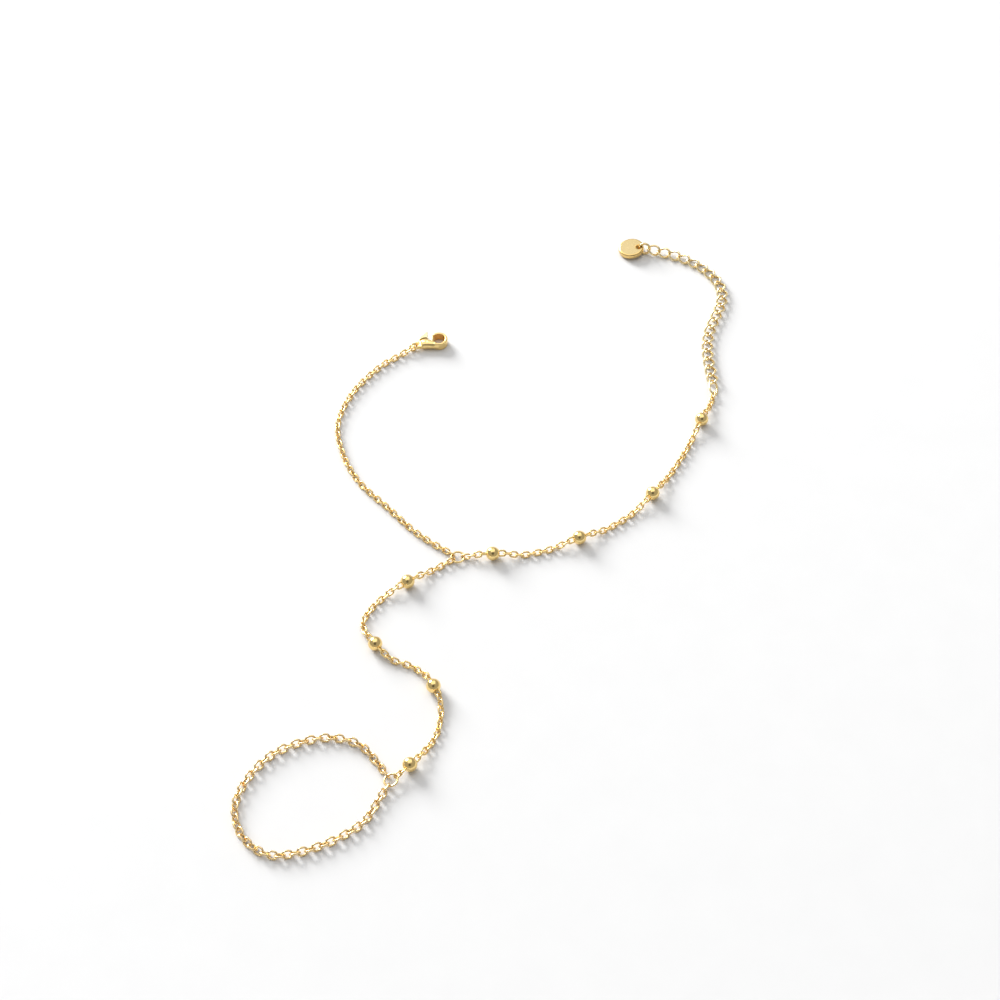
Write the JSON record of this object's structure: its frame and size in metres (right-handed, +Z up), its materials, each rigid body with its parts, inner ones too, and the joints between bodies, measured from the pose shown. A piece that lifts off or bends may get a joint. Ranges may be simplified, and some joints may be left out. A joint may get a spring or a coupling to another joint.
{
  "type": "hand chain bracelet",
  "caption": "Hand chain bracelet: a fine wrist chain with round beads, a lever clasp and an extender with a round tag, joined by a beaded chain to a finger loop.",
  "frame": {"origin": "on the surface the bracelet lies on, under the middle of its bounding box", "axes": "+Y from the finger loop towards the clasp and the extender, +X to the side of the extender, +Z up"},
  "size_m": [0.1065, 0.1671, 0.003],
  "materials": {
    "clasp": "polished pale gold plating",
    "lever": "polished pale gold plating",
    "ring": "polished pale gold plating",
    "chain": "polished pale gold plating",
    "bead": "polished pale gold plating",
    "extender": "polished pale gold plating",
    "tag": "satin pale gold plating",
    "finger_loop": "polished pale gold plating"
  },
  "bodies": {
    "bracelet": {"clasp_body": "clasp", "clasp_ring": "ring", "plain_chain": "chain", "junction_ring": "ring", "wrist_chain": "chain", "wrist_bead_1": "bead", "wrist_bead_2": "bead", "wrist_bead_3": "bead", "wrist_bead_4": "bead", "extender_ring": "extender", "extender_chain": "extender", "tag_ring": "ring", "tag": "tag", "hand_chain": "chain", "hand_bead_1": "bead", "hand_bead_2": "bead", "hand_bead_3": "bead", "hand_bead_4": "bead", "loop_ring": "ring", "finger_loop": "finger_loop"},
    "lever": {"clasp_lever": "lever"}
  },
  "joints": [
    {"name": "lever_hinge", "type": "hinge", "parent": "bracelet", "child": "lever", "pos_m": [-0.01839, 0.04932, 0.001], "axis": [0, 0, 1], "range_deg": [-22, 0], "stiffness_Nm_per_rad": 0.008}
  ]
}
